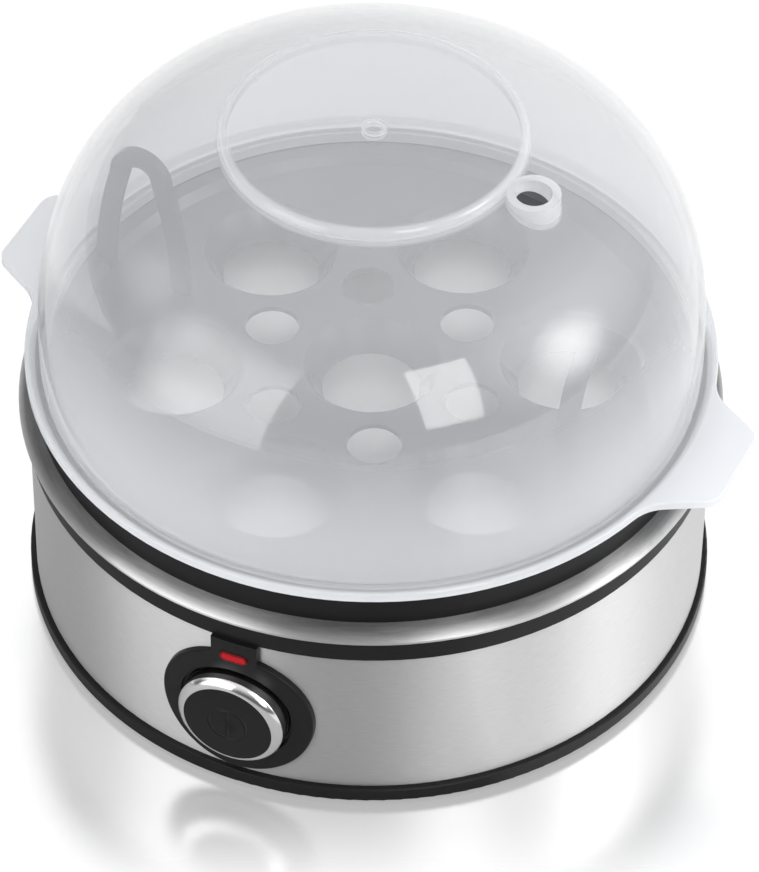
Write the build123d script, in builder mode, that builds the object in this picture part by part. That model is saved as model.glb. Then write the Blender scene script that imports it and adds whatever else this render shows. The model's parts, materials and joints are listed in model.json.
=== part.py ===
from build123d import *
from math import cos, radians, sin, sqrt, tan
import os

os.makedirs("parts", exist_ok=True)

# An electric egg cooker for seven eggs. All sizes are in millimetres.
# The origin is the middle of the object on the table, +Z is up, and the
# push button faces -Y. The lead would come in at the back, on +Y.

# Clearances
press_gap = 0.1            # between pieces pushed together and never moved again
slide_gap = 0.3            # between pieces that slide or lift past each other
hole_slack = 0.3           # how much wider a clear hole is than its screw
thread_slack = 0.1         # the same for a hole that the screw bites into
same = 0.01                # edges this close to a radius or a height are taken to be on it

# Base: a black moulded pan that the steel sleeve stands on
base_diameter = 185.0
base_floor = 2.4
base_rim_height = 4.4      # the black ring that shows under the sleeve
base_rim_round = 0.5
base_ledge = 1.6           # how far that ring stands out past the sleeve
spigot_wall = 2.0          # upright rings that hold the sleeve from inside
spigot_reach = 7.2
vent_slot_count = 5
vent_slot_length = 40.0
vent_slot_width = 3.0
vent_slot_pitch = 8.0

# Rubber feet, let into the underside
foot_diameter = 12.0
foot_stand = 0.4           # how far the feet lift the base off the table
foot_recess = 1.0
foot_round = 0.3
foot_inset = 20.5          # from the base's edge in to the middle of a foot
foot_count = 4

# Brushed sleeve, rolled from sheet
sleeve_sheet = 0.6
sleeve_height = 49.0

# Black trim ring on top of the sleeve
trim_height = 7.5
trim_proud = 0.8
trim_edge = 0.5
trim_shelf = 2.4           # thickness of the shelf that carries the bowl
trim_shelf_width = 5.3

# Bright bead: a sloping band rolled from sheet, with a foot under the collar
bead_height = 3.7
bead_lip = 0.6             # upright edge at its foot
bead_crown = 0.5           # how far the slope bulges out from straight
bead_width = 4.5           # from its lip in to the collar
bead_proud = 1.7           # how far it stands out past the trim ring
bead_sheet = 0.7
bead_tuck = 1.4            # how far its foot reaches under the collar

# Black collar that takes the tray and the lid
collar_height = 13.8
collar_wall = 2.2          # above the ledge
collar_foot_wall = 5.0     # below it
collar_ledge_depth = 4.4   # from the collar's top down to the tray's ledge
collar_ledge_width = 3.9
collar_ledge_height = 1.8
collar_edge = 0.4

# Steel bowl with the heating plate as its floor
bowl_sheet = 0.8
bowl_depth = 7.0
bowl_slope = 5.0           # how far its wall leans in
bowl_corner = 8.0
bowl_inset = 1.2           # from the shelf's edge in to the wall
bowl_rim_gap = 0.2         # from its rim to the trim ring

# Egg tray
tray_sheet = 1.6
tray_rim_height = 1.8
tray_rim_step = 2.5        # how far the rim stands above the deck
tray_rim_lean = 2.0        # run of the slope from the deck up to the rim
tray_gap = 1.7             # from its rim to the collar
tray_turn = -6.3           # it may sit at any angle: it stands a little round
cup_mouth = 36.6
cup_foot = 26.0
cup_depth = 9.0
cup_wall = 1.4
cup_lip = 1.2
cup_belly = 0.42           # share of the way out that is reached at half depth
cup_inset = 10.6           # from the deck's edge in to the outer cups' mouths
outer_cup_count = 6
steam_hole = 14.5
loop_height = 45.0         # the two lifting loops
loop_foot = 28.6           # width over the feet
loop_shoulder = 17.6       # width over the shoulders
loop_shoulder_drop = 9.0   # from the top down to the shoulders
loop_bow = 1.2             # how far each leg bows out from a straight line
loop_band = 5.2
loop_thickness = 2.4
loop_inset = 1.3           # from the rim's edge in to the loops' outer feet

# Lid: one clear moulding
lid_wall = 1.8
lid_inset = 1.25           # from the collar's outside to the lid's wall
lid_draft = 1.55           # degrees
lid_straight = 17.3        # height of the straight part of its wall
dome_radii = (78.0, 48.1, 71.4)
dome_turns = (17.3, 37.2)  # degrees turned by the first two arcs
flange_overhang = 2.4
flange_thickness = 2.3
flange_round = 0.6
skirt_depth = 1.9
skirt_wall = 1.5
skirt_root = 1.2           # height of the thick ring that joins it to the wall
plateau_diameter = 78.6    # raised disc in the middle of the dome
plateau_rise = 0.95        # above the top of the dome's arcs
plateau_round = 2.0
gate_ring = 6.4            # the moulding's round gate mark
gate_groove = 0.9
gate_depth = 0.5
lid_turn = -3.5
ear_reach = 104.6          # from the middle to the ear's outer edge
ear_width = 27.0
ear_root = 46.0
ear_corner = 6.0
ear_blend = 12.0
vent_merge = 0.4           # how far its boss runs into the raised disc
vent_turn = -4.0           # from the line of the ears
vent_boss = 13.9
vent_bore = 9.4
vent_drop = 1.75           # from the plateau's top down to the boss's

# Switch plate, button and lamp at the front
plate_diameter = 42.0
plate_proud = 1.9
plate_centre_height = 22.9 # above the base ring
plate_round = 0.6
tab_width = 12.7
well_wall = 1.3
well_depth = 12.5
well_floor = 1.6
well_mouth = 0.9           # how much wider the well is where it opens
well_mouth_depth = 2.3
button_diameter = 29.2
button_gap = 0.2           # from the button to its well
button_stand = 2.6         # chrome side that shows in front of the plate
button_travel = 2.5
bevel_width = 2.4
bevel_depth = 1.9
bevel_crown = 0.35         # how far it bulges out from a straight bevel
bevel_round = 0.4
ring_wall = 1.1
ring_length = 10.6
cap_dome = 0.3
cap_thickness = 4.0
cap_flange = 2.0
stem_diameter = 6.0
stem_length = 15.6
spring_wire = 0.8
spring_diameter = 10.0
spring_turn_count = 5
spring_play = 0.05
wire_side_count = 8
lens_width = 7.9
lens_height = 3.3
lens_proud = 0.3
lens_depth = 5.2
lens_drop = 5.6            # from the sleeve's top down to the lens
lamp_diameter = 4.0
lamp_length = 10.0
lamp_round = 1.2
holder_depth = 8.2
holder_height = 7.6        # above the top of the well
window_height = 2.4

# Push switch behind the button, in its cradle
switch_width = 20.0
switch_height = 14.0
switch_length = 18.0
switch_edge = 0.8
plunger_side = 5.0
plunger_stand = 4.0
plunger_length = 10.0
plunger_edge = 0.5
blade_width = 6.3
blade_sheet = 0.8
blade_length = 7.0
blade_spacing = 10.0
cradle_wall = 1.8
cradle_sill = 4.0          # height of the cheeks beside the switch
cradle_length = 14.0

# Heater under the bowl
tube_diameter = 6.6
element_circle = 40.0
element_sweep = 290.0
pin_diameter = 3.0
pin_length = 9.0
stud_diameter = 4.0
stud_spacing = 46.0
stud_length = 7.4
thermostat_flange = 17.0
thermostat_flange_height = 1.5
thermostat_body = 13.0
thermostat_body_height = 9.0
strap_width = 19.0
strap_sheet = 1.0
strap_length = 57.0
nut_across = 7.0
nut_height = 3.2
fuse_diameter = 4.0
fuse_length = 11.0
fuse_round = 0.8

# Mains connections at the back
gland_height = 10.6        # of its middle above the base's floor
gland_flange = 15.0
gland_neck = 11.0
gland_bore = 6.8
gland_taper = 1.6
gland_shoulder = 3.0       # straight part of the flange before the taper
gland_nut = 14.0
gland_nut_height = 4.0
gland_thread = 1.5         # how far the neck shows past its nut
block_width = 26.0
block_depth = 13.0
block_height = 12.0
block_inset = 26.2         # from the upright ring in to the block's middle
block_way_count = 3
block_pitch = 8.0
block_bore = 4.2
block_screw = 3.2
block_screw_length = 4.0
block_screw_spacing = 6.4
block_screw_sink = 0.6
screw_row_count = 2        # one screw at each end of a way

# Screws: four hold the base to the trim ring, four hold the collar down
base_screw_count = 4
base_screw = 3.0
base_screw_head = 6.0
base_screw_head_height = 2.2
base_screw_length = 14.0
base_screw_sink = 2.3      # depth of the head below the underside
post_diameter = 6.6
screw_boss = 11.0
screw_boss_height = 4.6    # above the base's floor
collar_screw_count = 4
collar_screw_turn = 20.0
collar_screw = 2.2
collar_screw_head = 4.0
collar_screw_head_height = 1.4
collar_screw_length = 10.0
drive_width = 0.8          # the cross in a screw's head
drive_depth = 0.9

# Radii that follow
base_r = base_diameter / 2
sleeve_r = base_r - base_ledge
sleeve_in = sleeve_r - sleeve_sheet
spigot_r = sleeve_in - press_gap
spigot_in = spigot_r - spigot_wall
trim_r = sleeve_r + trim_proud
shelf_in = spigot_in - trim_shelf_width
bead_r = trim_r + bead_proud
collar_r = bead_r - bead_width
collar_in = collar_r - collar_wall
collar_foot_in = collar_r - collar_foot_wall
ledge_in = collar_in - collar_ledge_width
bowl_r = shelf_in - bowl_inset
bowl_floor_r = bowl_r - bowl_slope
bowl_rim_r = spigot_in - bowl_rim_gap
tray_r = collar_in - tray_gap
web_r = ledge_in - slide_gap
deck_r = web_r - tray_sheet
lid_r = collar_r - lid_inset
flange_r = collar_r + flange_overhang
skirt_r = collar_in - slide_gap
skirt_in = skirt_r - skirt_wall
foot_circle = base_r - foot_inset
cup_circle = deck_r - cup_inset - cup_mouth / 2
steam_circle = cup_circle * tan(radians(30))   # as far from the middle cup as from its two others
loop_circle = tray_r - loop_inset - loop_foot / 2
vent_circle = (plateau_diameter + vent_boss) / 2 - vent_merge
block_place = spigot_in - block_inset
post_circle = spigot_in - slide_gap - post_diameter / 2
collar_screw_circle = (collar_foot_in + collar_r - bead_tuck) / 2

# Heights that follow
base_z = foot_stand
floor_z = base_z + base_floor
ledge_z = base_z + base_rim_height
sleeve_top = ledge_z + sleeve_height
trim_top = sleeve_top + trim_height
shelf_z = trim_top - bowl_sheet
shelf_under = shelf_z - trim_shelf
collar_top = trim_top + collar_height
tray_ledge_z = collar_top - collar_ledge_depth
rim_top = tray_ledge_z + tray_rim_height
deck_z = rim_top - tray_rim_step
plate_z = shelf_z - bowl_depth          # top of the bowl's floor
plate_under = plate_z - bowl_sheet
boss_top = floor_z + screw_boss_height
base_head_z = base_z + base_screw_sink
plate_centre = ledge_z + plate_centre_height
lens_z = sleeve_top - lens_drop
gland_z = floor_z + gland_height

# Depths along Y, counted from the middle towards the front
face_r = sleeve_r + plate_proud
ring_y = face_r + button_stand
cap_y = ring_y + bevel_depth
button_reach = cap_y + cap_dome
well_back = face_r - well_depth
bore_r = button_diameter / 2 + button_gap
well_r = bore_r + well_wall
cap_r = button_diameter / 2 - bevel_width
cap_flange_r = button_diameter / 2 - ring_wall - press_gap
cap_back = cap_y - cap_thickness
flange_back = cap_back - cap_flange
stem_end = flange_back - stem_length
switch_y = stem_end - plunger_stand
switch_low = plate_centre - switch_height / 2
holder_y = face_r + lens_proud - lens_depth

button_axis = Axis((0, 0, plate_centre), (0, 1, 0))
gland_axis = Axis((0, 0, gland_z), (0, 1, 0))


def front(depth):
    """A plane square to Y at this depth towards the front, seen from the front."""
    return Plane(origin=(0, -depth, 0), x_dir=(1, 0, 0), z_dir=(0, -1, 0))


def back(depth):
    """A plane square to Y at this depth towards the back, seen from behind."""
    return Plane(origin=(0, depth, 0), x_dir=(-1, 0, 0), z_dir=(0, 1, 0))


def at_z(height):
    return Plane.XY.offset(height)


def on_circle(radius, turns):
    """The places on a circle at these angles."""
    return [(radius * cos(radians(turn)), radius * sin(radians(turn))) for turn in turns]


def round_edges(part, radius):
    """The round edges of a part that have this radius."""
    return part.edges().filter_by(GeomType.CIRCLE).filter_by(
        lambda edge: abs(edge.radius - radius) < same)


post_places = on_circle(
    post_circle, [45 + 360 / base_screw_count * n for n in range(base_screw_count)])
collar_screw_places = on_circle(
    collar_screw_circle,
    [collar_screw_turn + 360 / collar_screw_count * n for n in range(collar_screw_count)])

# Base pan: floor, outer rim and the upright ring inside the sleeve
with BuildPart() as base_pan:
    with BuildSketch(Plane.XZ):
        with BuildLine():
            Polyline(
                (0, base_z), (base_r, base_z), (base_r, ledge_z), (spigot_r, ledge_z),
                (spigot_r, ledge_z + spigot_reach), (spigot_in, ledge_z + spigot_reach),
                (spigot_in, floor_z), (0, floor_z), close=True,
            )
        make_face()
    revolve(axis=Axis.Z)
    fillet(round_edges(base_pan, base_r), radius=base_rim_round)
    with BuildSketch(at_z(base_z)):
        with Locations(*post_places):
            Circle(screw_boss / 2)
    extrude(amount=boss_top - base_z)
    with BuildSketch(at_z(base_z)):
        with Locations(*post_places):
            Circle(base_screw_head / 2 + hole_slack)
    extrude(amount=base_screw_sink + base_screw_head_height, mode=Mode.SUBTRACT)
    with BuildSketch(at_z(base_z)):
        with Locations(*post_places):
            Circle((base_screw + hole_slack) / 2)
    extrude(amount=boss_top - base_z, mode=Mode.SUBTRACT)
    with BuildSketch(at_z(base_z)):
        with PolarLocations(foot_circle, foot_count):
            Circle(foot_diameter / 2 + press_gap)
    extrude(amount=foot_recess, mode=Mode.SUBTRACT)
    with BuildSketch(at_z(base_z)):
        with GridLocations(0, vent_slot_pitch, 1, vent_slot_count):
            SlotOverall(vent_slot_length, vent_slot_width)
    extrude(amount=base_floor, mode=Mode.SUBTRACT)
    with BuildSketch(front(well_back)):
        with Locations((0, plate_centre)):
            Circle(well_r + slide_gap)
    extrude(amount=spigot_r - well_back, mode=Mode.SUBTRACT)
    with BuildSketch(back(block_place)):
        with Locations((0, gland_z)):
            RegularPolygon(gland_nut / 2 + slide_gap, 6, major_radius=False)
    extrude(amount=spigot_r - block_place, mode=Mode.SUBTRACT)
base_pan.part.label = "base_pan"

with BuildPart() as rubber_feet:
    with BuildSketch(at_z(0)):
        with PolarLocations(foot_circle, foot_count):
            Circle(foot_diameter / 2)
    extrude(amount=foot_stand + foot_recess)
    fillet(rubber_feet.edges().group_by(Axis.Z)[0], radius=foot_round)
rubber_feet.part.label = "rubber_feet"

with BuildPart() as base_screws:
    with BuildSketch(at_z(base_head_z)):
        with Locations(*post_places):
            Circle(base_screw_head / 2)
    extrude(amount=base_screw_head_height)
    with BuildSketch(at_z(base_head_z)):
        with Locations(*post_places):
            Circle(base_screw / 2)
    extrude(amount=base_screw_head_height + base_screw_length)
    with BuildSketch(at_z(base_head_z)):
        with Locations(*post_places):
            Rectangle(base_screw, drive_width)
            Rectangle(drive_width, base_screw)
    extrude(amount=drive_depth, mode=Mode.SUBTRACT)
base_screws.part.label = "base_screws"

# Steel sleeve with its openings for the button, the lamp and the lead
with BuildPart() as sleeve:
    with BuildSketch(at_z(ledge_z)):
        Circle(sleeve_r)
        Circle(sleeve_in, mode=Mode.SUBTRACT)
    extrude(amount=sleeve_height)
    with BuildSketch(front(well_back)):
        with Locations((0, plate_centre)):
            Circle(well_r + press_gap)
        with Locations((0, lens_z)):
            Rectangle(lens_width + 2 * hole_slack, lens_height + 2 * hole_slack)
    extrude(amount=base_r - well_back, mode=Mode.SUBTRACT)
    with BuildSketch(back(block_place)):
        with Locations((0, gland_z)):
            Circle(gland_neck / 2 + press_gap)
    extrude(amount=base_r - block_place, mode=Mode.SUBTRACT)
sleeve.part.label = "sleeve"

# Trim ring: the black band above the sleeve, the shelf for the bowl and the screw posts
with BuildPart() as trim_ring:
    with BuildSketch(Plane.XZ):
        with BuildLine():
            Polyline(
                (spigot_in, sleeve_top - spigot_reach), (spigot_r, sleeve_top - spigot_reach),
                (spigot_r, sleeve_top), (trim_r, sleeve_top), (trim_r, trim_top - trim_edge),
                (trim_r - trim_edge, trim_top), (bowl_rim_r + press_gap, trim_top),
                (bowl_rim_r + press_gap, shelf_z), (shelf_in, shelf_z), (shelf_in, shelf_under),
                (spigot_in, shelf_under), close=True,
            )
        make_face()
    revolve(axis=Axis.Z)
    with BuildSketch(at_z(boss_top)):
        with Locations(*post_places):
            Circle(post_diameter / 2)
    extrude(amount=shelf_z - trim_shelf / 2 - boss_top)
    with BuildSketch(at_z(boss_top)):
        with Locations(*post_places):
            Circle((base_screw + thread_slack) / 2)
    extrude(amount=base_screw_length, mode=Mode.SUBTRACT)
    with BuildSketch(at_z(shelf_under)):
        with Locations(*collar_screw_places):
            Circle((collar_screw + hole_slack) / 2)
    extrude(amount=trim_shelf, mode=Mode.SUBTRACT)
    with BuildSketch(front(well_back)):
        with Locations((0, plate_centre)):
            Circle(well_r + slide_gap)
        with Locations((0, sleeve_top - spigot_reach / 2)):
            Rectangle(tab_width + 2 * slide_gap, spigot_reach)
    extrude(amount=spigot_r - well_back, mode=Mode.SUBTRACT)
trim_ring.part.label = "trim_ring"

# Bright bead: a sloping band of sheet with a flat foot that the collar clamps
with BuildPart() as bead:
    with BuildSketch(Plane.XZ):
        with BuildLine():
            slope = sqrt(bead_width**2 + (bead_height - bead_lip)**2)
            out_x, out_z = (bead_height - bead_lip) / slope, bead_width / slope
            lip_top = (bead_r, trim_top + bead_lip)
            top = (collar_r, trim_top + bead_height)
            crown = ((bead_r + collar_r) / 2 + out_x * bead_crown,
                     (lip_top[1] + top[1]) / 2 + out_z * bead_crown)
            inner_top = (collar_r, top[1] - bead_sheet / out_z)
            inner_crown = (crown[0] - out_x * bead_sheet, crown[1] - out_z * bead_sheet)
            foot_run = (bead_sheet - bead_lip + out_z * bead_sheet) / out_x
            foot_end = (bead_r - out_x * bead_sheet - out_z * foot_run, trim_top + bead_sheet)
            Line((bead_r, trim_top), lip_top)
            ThreePointArc(lip_top, crown, top)
            Line(top, inner_top)
            ThreePointArc(inner_top, inner_crown, foot_end)
            Polyline(
                foot_end, (collar_r - bead_tuck, trim_top + bead_sheet),
                (collar_r - bead_tuck, trim_top), (bead_r, trim_top),
            )
        make_face()
    revolve(axis=Axis.Z)
bead.part.label = "bead"

# Collar
with BuildPart() as collar:
    with BuildSketch(Plane.XZ):
        with BuildLine():
            ledge_under = tray_ledge_z - collar_ledge_height
            Polyline(
                (collar_r, trim_top + bead_sheet), (collar_r, collar_top), (collar_in, collar_top),
                (collar_in, tray_ledge_z), (ledge_in, tray_ledge_z), (ledge_in, ledge_under),
                (collar_foot_in, ledge_under - (collar_foot_in - ledge_in)),
                (collar_foot_in, trim_top), (collar_r - bead_tuck, trim_top),
                (collar_r - bead_tuck, trim_top + bead_sheet), close=True,
            )
        make_face()
    revolve(axis=Axis.Z)
    fillet(collar.edges().group_by(Axis.Z)[-1], radius=collar_edge)
    with BuildSketch(at_z(trim_top)):
        with Locations(*collar_screw_places):
            Circle((collar_screw + thread_slack) / 2)
    extrude(amount=collar_screw_length + shelf_under - trim_top, mode=Mode.SUBTRACT)
collar.part.label = "collar"

with BuildPart() as collar_screws:
    with BuildSketch(at_z(shelf_under)):
        with Locations(*collar_screw_places):
            Circle(collar_screw_head / 2)
    extrude(amount=-collar_screw_head_height)
    with BuildSketch(at_z(shelf_under)):
        with Locations(*collar_screw_places):
            Circle(collar_screw / 2)
    extrude(amount=collar_screw_length)
    with BuildSketch(at_z(shelf_under - collar_screw_head_height)):
        with Locations(*collar_screw_places):
            Rectangle(collar_screw, drive_width)
            Rectangle(drive_width, collar_screw)
    extrude(amount=drive_depth, mode=Mode.SUBTRACT)
collar_screws.part.label = "collar_screws"

# Bowl: a shallow pressed dish with two studs welded under its floor
with BuildPart() as bowl:
    with BuildSketch(Plane.XZ):
        with BuildLine():
            Polyline(
                (0, plate_under), (bowl_floor_r, plate_under), (bowl_r, shelf_z),
                (bowl_rim_r, shelf_z), (bowl_rim_r, trim_top), (bowl_r - bowl_sheet, trim_top),
                (bowl_floor_r - bowl_sheet, plate_z), (0, plate_z), close=True,
            )
        make_face()
    revolve(axis=Axis.Z)
    fillet(round_edges(bowl, bowl_floor_r), radius=bowl_corner)
    fillet(round_edges(bowl, bowl_floor_r - bowl_sheet), radius=bowl_corner - bowl_sheet)
    with BuildSketch(at_z(shelf_z)):
        with Locations(*collar_screw_places):
            Circle((collar_screw + hole_slack) / 2)
    extrude(amount=bowl_sheet, mode=Mode.SUBTRACT)
    with BuildSketch(at_z(plate_under)):
        with GridLocations(stud_spacing, 0, 2, 1):
            Circle(stud_diameter / 2)
    extrude(amount=-stud_length)
bowl.part.label = "bowl"


# Egg tray: deck and rim, seven funnel cups, steam holes and two lifting loops
def funnel(skin):
    """A cup as a solid, its side this far outside the cup's own hollow."""
    mouth, foot = cup_mouth / 2 + skin, cup_foot / 2 + skin
    with BuildPart() as shape:
        with BuildSketch(Plane.XZ):
            with BuildLine():
                ThreePointArc(
                    (foot, deck_z - cup_depth),
                    (foot + (mouth - foot) * cup_belly, deck_z - cup_depth / 2),
                    (mouth, deck_z),
                )
                Polyline((mouth, deck_z), (0, deck_z), (0, deck_z - cup_depth),
                         (foot, deck_z - cup_depth))
            make_face()
        revolve(axis=Axis.Z)
    return shape.part


def loop_outline(inset):
    """A lifting loop's outline, this far in from its outside."""
    foot, shoulder = loop_foot / 2 - inset, loop_shoulder / 2 - inset
    low, high = -tray_sheet / 2, loop_height - loop_shoulder_drop
    bow = ((foot + shoulder) / 2 + loop_bow, high / 2)
    with BuildSketch() as outline:
        with BuildLine():
            ThreePointArc((foot, low), bow, (shoulder, high))
            ThreePointArc((shoulder, high), (0, loop_height - inset), (-shoulder, high))
            ThreePointArc((-shoulder, high), (-bow[0], bow[1]), (-foot, low))
            Line((-foot, low), (foot, low))
        make_face()
    return outline.sketch


cup_places = [(0, 0)] + on_circle(
    cup_circle, [tray_turn + 360 / outer_cup_count * (n + 0.5) for n in range(outer_cup_count)])
steam_places = on_circle(
    steam_circle, [tray_turn + 360 / outer_cup_count * n for n in range(outer_cup_count)])
cup_outside, cup_hollow = funnel(cup_wall), funnel(0)
loop_outside, loop_hollow = loop_outline(0), loop_outline(loop_band)

with BuildPart() as egg_tray:
    with BuildSketch(Plane.XZ):
        with BuildLine():
            Polyline(
                (0, deck_z - tray_sheet), (web_r, deck_z - tray_sheet), (web_r, tray_ledge_z),
                (tray_r, tray_ledge_z), (tray_r, rim_top), (deck_r, rim_top),
                (deck_r - tray_rim_lean, deck_z), (0, deck_z), close=True,
            )
        make_face()
    revolve(axis=Axis.Z)
    with Locations(*cup_places):
        add(cup_outside)
    with Locations(*cup_places):
        add(cup_hollow, mode=Mode.SUBTRACT)
    fillet(round_edges(egg_tray, cup_mouth / 2), radius=cup_lip)
    with BuildSketch(at_z(deck_z)):
        with Locations(*steam_places):
            Circle(steam_hole / 2)
    extrude(amount=-tray_sheet, mode=Mode.SUBTRACT)
    for turn in (radians(tray_turn), radians(tray_turn + 180)):
        with BuildSketch(Plane(
            origin=(loop_circle * cos(turn), loop_circle * sin(turn), deck_z),
            x_dir=(cos(turn), sin(turn), 0), z_dir=(sin(turn), -cos(turn), 0),
        )):
            add(loop_outside)
            add(loop_hollow, mode=Mode.SUBTRACT)
        extrude(amount=loop_thickness / 2, both=True)
    # the loops' outer feet stop at the underside of the rim
    with BuildSketch(at_z(deck_z - tray_sheet)):
        Circle(tray_r)
        Circle(web_r, mode=Mode.SUBTRACT)
    extrude(amount=tray_sheet - deck_z + tray_ledge_z, mode=Mode.SUBTRACT)
egg_tray.part.label = "egg_tray"


# Lid
def dome(inset, start_z):
    """The dome as a solid down to start_z, drawn this far in from its outside."""
    lean = radians(lid_draft)
    foot = (lid_r - inset - (start_z - collar_top) * tan(lean), start_z)
    rise = collar_top + lid_straight - start_z
    rest = 90 - lid_draft - sum(dome_turns)
    with BuildPart() as shape:
        with BuildSketch(Plane.XZ):
            with BuildLine():
                wall = Line(foot, (foot[0] - rise * tan(lean), start_z + rise))
                low = JernArc(wall @ 1, wall % 1, dome_radii[0] - inset, dome_turns[0])
                middle = JernArc(low @ 1, low % 1, dome_radii[1] - inset, dome_turns[1])
                crown = JernArc(middle @ 1, middle % 1, dome_radii[2] - inset, rest)
                top = crown @ 1
                Polyline((top.X, top.Y), (0, top.Y), (0, start_z), foot)
            make_face()
        revolve(axis=Axis.Z)
    return shape.part


dome_outside = dome(0, collar_top)
dome_hollow = dome(lid_wall, collar_top + skirt_root)
plateau_z = dome_outside.bounding_box().max.Z + plateau_rise
plateau_depth = plateau_rise + plateau_round + lid_wall
with BuildPart() as plateau:
    with BuildSketch(at_z(plateau_z)):
        Circle(plateau_diameter / 2)
    extrude(amount=-plateau_depth)
    fillet(plateau.edges().group_by(Axis.Z)[-1], radius=plateau_round)
vent_z = plateau_z - vent_drop
vent_place = on_circle(vent_circle, [lid_turn + vent_turn])
with BuildPart() as lid:
    with BuildSketch(at_z(collar_top)) as rim_outline:
        Circle(flange_r)
        with PolarLocations(0, 2, start_angle=lid_turn):
            Polygon(
                (lid_r, -ear_root / 2), (ear_reach, -ear_width / 2),
                (ear_reach, ear_width / 2), (lid_r, ear_root / 2), align=None,
            )
        fillet(rim_outline.vertices().filter_by(
            lambda corner: sqrt(corner.X**2 + corner.Y**2) > ear_reach), radius=ear_corner)
        fillet(rim_outline.vertices().filter_by(
            lambda corner: abs(sqrt(corner.X**2 + corner.Y**2) - flange_r) < same),
            radius=ear_blend)
    extrude(amount=flange_thickness)
    fillet(lid.edges().group_by(Axis.Z)[-1], radius=flange_round)
    add(dome_outside)
    add(plateau.part)
    with BuildSketch(at_z(vent_z)):
        with Locations(*vent_place):
            Circle(vent_boss / 2)
    extrude(amount=-(vent_boss / 2))
    with BuildSketch(at_z(collar_top)):
        Circle(skirt_r)
    extrude(amount=-skirt_depth)
    add(dome_hollow, mode=Mode.SUBTRACT)
    with BuildSketch(at_z(collar_top - skirt_depth)):
        Circle(skirt_in)
    extrude(amount=skirt_depth + skirt_root, mode=Mode.SUBTRACT)
    with BuildSketch(at_z(plateau_z - lid_wall)):
        Circle(plateau_diameter / 2 - lid_wall)
    extrude(amount=-plateau_depth, mode=Mode.SUBTRACT)
    with BuildSketch(at_z(vent_z)):
        with Locations(*vent_place):
            Circle(vent_bore / 2)
    extrude(amount=-vent_boss, mode=Mode.SUBTRACT)
    with BuildSketch(at_z(plateau_z)):
        Circle(gate_ring / 2)
        Circle(gate_ring / 2 - gate_groove, mode=Mode.SUBTRACT)
    extrude(amount=-gate_depth, mode=Mode.SUBTRACT)
lid.part.label = "lid"

# Switch plate: a disc and a tab that hug the sleeve, and the button's well behind them
with BuildPart() as plate_skin:
    with BuildSketch(front(well_back)):
        with Locations((0, plate_centre)):
            Circle(plate_diameter / 2)
    extrude(amount=button_reach - well_back)
    with BuildSketch(at_z(0)):
        Circle(face_r)
        Circle(sleeve_r, mode=Mode.SUBTRACT)
    extrude(amount=sleeve_top, mode=Mode.INTERSECT)
    skin_face = plate_skin.faces().filter_by(GeomType.CYLINDER).sort_by(Axis.Y)[0]
    fillet(skin_face.edges(), radius=plate_round)

tab_foot_z = lens_z - lens_height / 2 - well_wall
with BuildPart() as tab_skin:
    with BuildSketch(at_z(tab_foot_z)):
        Circle(face_r)
        Circle(sleeve_r, mode=Mode.SUBTRACT)
        with Locations((0, -face_r / 2)):
            Rectangle(tab_width, face_r, mode=Mode.INTERSECT)
    extrude(amount=sleeve_top - tab_foot_z)

with BuildPart() as switch_plate:
    with BuildSketch(front(well_back)):
        with Locations((0, plate_centre)):
            Circle(well_r)
    extrude(amount=button_reach - well_back)
    with BuildSketch(at_z(0)):
        Circle(sleeve_r + plate_proud / 2)
    extrude(amount=sleeve_top, mode=Mode.INTERSECT)
    add(plate_skin.part)
    add(tab_skin.part)
    with BuildSketch(front(well_back + well_floor)):
        with Locations((0, plate_centre)):
            Circle(bore_r)
    extrude(amount=button_reach - well_back, mode=Mode.SUBTRACT)
    with BuildSketch(front(face_r - well_mouth_depth)):
        with Locations((0, plate_centre)):
            Circle(bore_r + well_mouth)
    extrude(amount=button_reach - face_r + well_mouth_depth, mode=Mode.SUBTRACT)
    with BuildSketch(front(well_back)):
        with Locations((0, plate_centre)):
            Circle(stem_diameter / 2 + slide_gap)
    extrude(amount=well_floor, mode=Mode.SUBTRACT)
    with BuildSketch(front(well_back)):
        with Locations((0, lens_z)):
            SlotOverall(lens_width + 2 * press_gap, lens_height + 2 * press_gap)
    extrude(amount=button_reach - well_back, mode=Mode.SUBTRACT)
switch_plate.part.label = "switch_plate"

# Chrome ring round the button
with BuildPart() as button_ring:
    with BuildSketch(Plane.YZ):
        with BuildLine():
            ring_r, ring_bore = button_diameter / 2, cap_r + press_gap
            bevel = sqrt(bevel_depth**2 + (ring_r - ring_bore)**2)
            bevel_middle = (
                -(ring_y + cap_y) / 2 - bevel_crown * (ring_r - ring_bore) / bevel,
                plate_centre + (ring_r + ring_bore) / 2 + bevel_crown * bevel_depth / bevel,
            )
            ThreePointArc(
                (-ring_y, plate_centre + ring_r), bevel_middle, (-cap_y, plate_centre + ring_bore),
            )
            Polyline(
                (-cap_y, plate_centre + ring_bore), (-cap_back, plate_centre + ring_bore),
                (-cap_back, plate_centre + ring_r - ring_wall),
                (ring_length - ring_y, plate_centre + ring_r - ring_wall),
                (ring_length - ring_y, plate_centre + ring_r), (-ring_y, plate_centre + ring_r),
            )
        make_face()
    revolve(axis=button_axis)
    fillet(button_ring.edges().filter_by(GeomType.CIRCLE).filter_by(
        lambda edge: abs(edge.center().Y + ring_y) < same), radius=bevel_round)
button_ring.part.label = "button_ring"

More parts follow.
